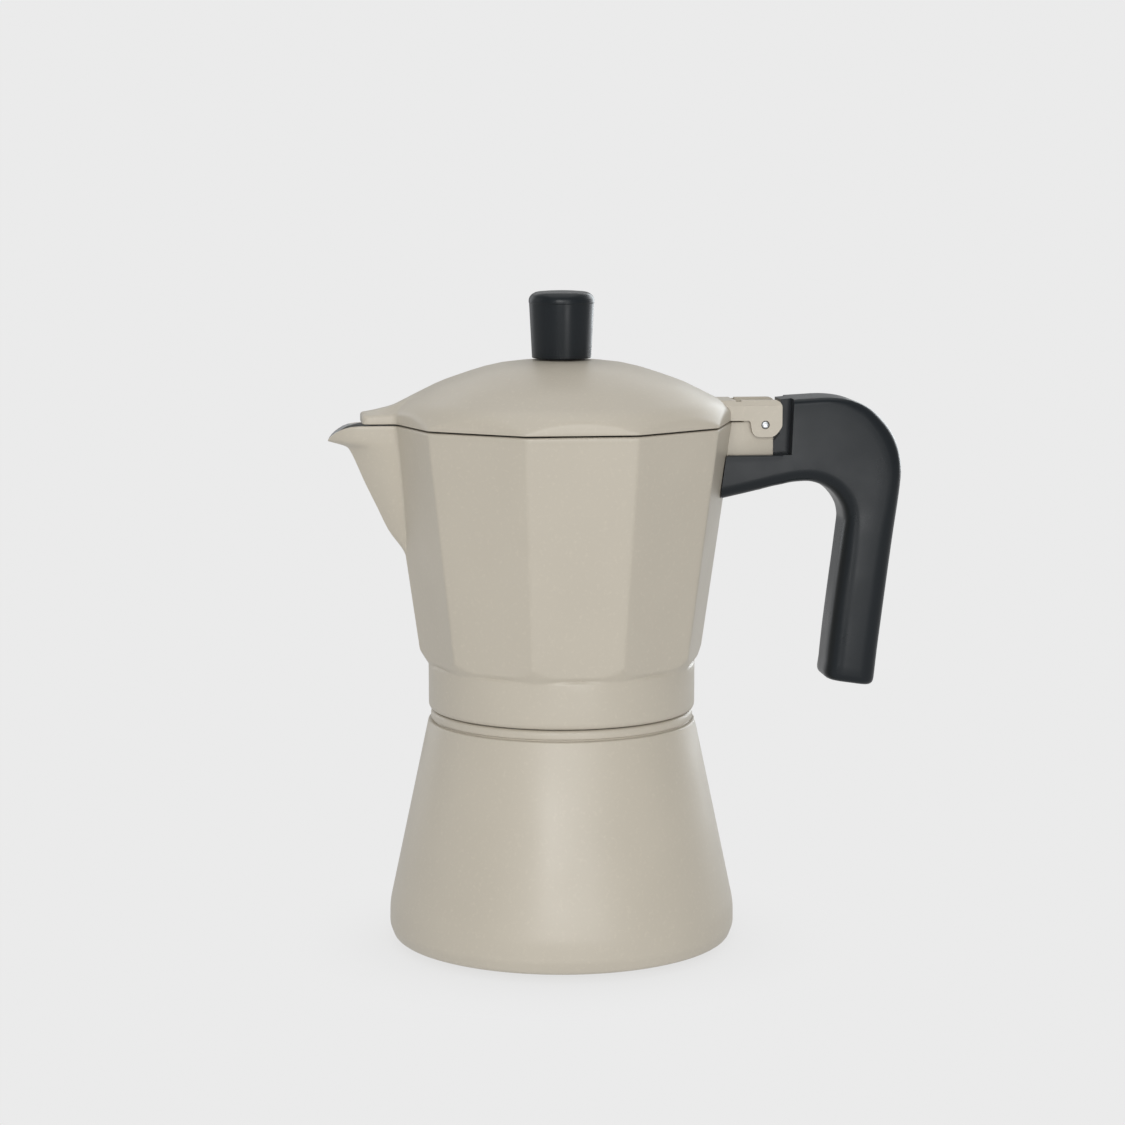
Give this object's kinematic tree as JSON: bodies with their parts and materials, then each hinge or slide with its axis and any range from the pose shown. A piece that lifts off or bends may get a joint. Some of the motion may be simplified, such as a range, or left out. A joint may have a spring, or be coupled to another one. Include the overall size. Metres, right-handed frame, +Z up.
{
  "type": "moka pot",
  "caption": "Stovetop coffee maker: round conical boiler, faceted collector with a spout, hinged domed lid with a knob, and a side grip.",
  "frame": {"origin": "on the pot's axis, at the flat foot it stands on", "axes": "+Z up along the pot's axis, +X towards the handle, -X towards the spout, +Y towards the side that holds the safety valve"},
  "size_m": [0.1773, 0.1123, 0.2013],
  "materials": {
    "coated_casting": "satin",
    "bare_aluminium": "satin",
    "brass": "satin",
    "steel": "satin",
    "seal": "matte",
    "black_plastic": "matte"
  },
  "bodies": {
    "boiler_body": {"boiler": "coated_casting", "valve_body": "brass", "valve_washer": "seal", "valve_spring": "steel", "valve_plug": "brass"},
    "valve_poppet": {"valve_piston": "steel"},
    "funnel": {"funnel_basket": "bare_aluminium", "funnel_tube": "bare_aluminium", "basket_screen": "bare_aluminium"},
    "seal": {"gasket": "seal", "filter_plate": "bare_aluminium"},
    "upper_pot": {"collector": "coated_casting", "handle": "black_plastic", "handle_washer": "steel", "handle_screw": "steel"},
    "lid_group": {"lid": "coated_casting", "hinge_pin": "steel", "knob": "black_plastic", "knob_insert": "brass", "knob_washer": "steel", "knob_screw": "steel"}
  },
  "joints": [
    {"name": "valve_lift", "type": "slide", "parent": "boiler_body", "child": "valve_poppet", "axis": [0, 1, 0], "range_m": [0, 0.0016], "stiffness_N_per_m": 1000, "springref_m": -0.0015, "deforming": ["valve_spring"]},
    {"name": "collector_rise", "type": "slide", "parent": "boiler_body", "child": "seal", "axis": [0, 0, 1], "range_m": [0, 0.0106]},
    {"name": "collector_unscrew", "type": "hinge", "parent": "seal", "child": "upper_pot", "pos_m": [0, 0, 0.0784], "axis": [0, 0, 1], "range_deg": [0, 1080]},
    {"name": "funnel_lift", "type": "slide", "parent": "boiler_body", "child": "funnel", "axis": [0, 0, 1], "range_m": [0, 0.0096]},
    {"name": "lid_hinge", "type": "hinge", "parent": "upper_pot", "child": "lid_group", "pos_m": [0.0616, 0, 0.16045], "axis": [0, 1, 0], "range_deg": [0, 95]}
  ],
  "couplings": [
    {"joint": "collector_rise", "follows": "collector_unscrew", "m_per_rad": 0.00055704},
    {"joint": "funnel_lift", "follows": "collector_unscrew", "m_per_rad": 0.00050134}
  ]
}
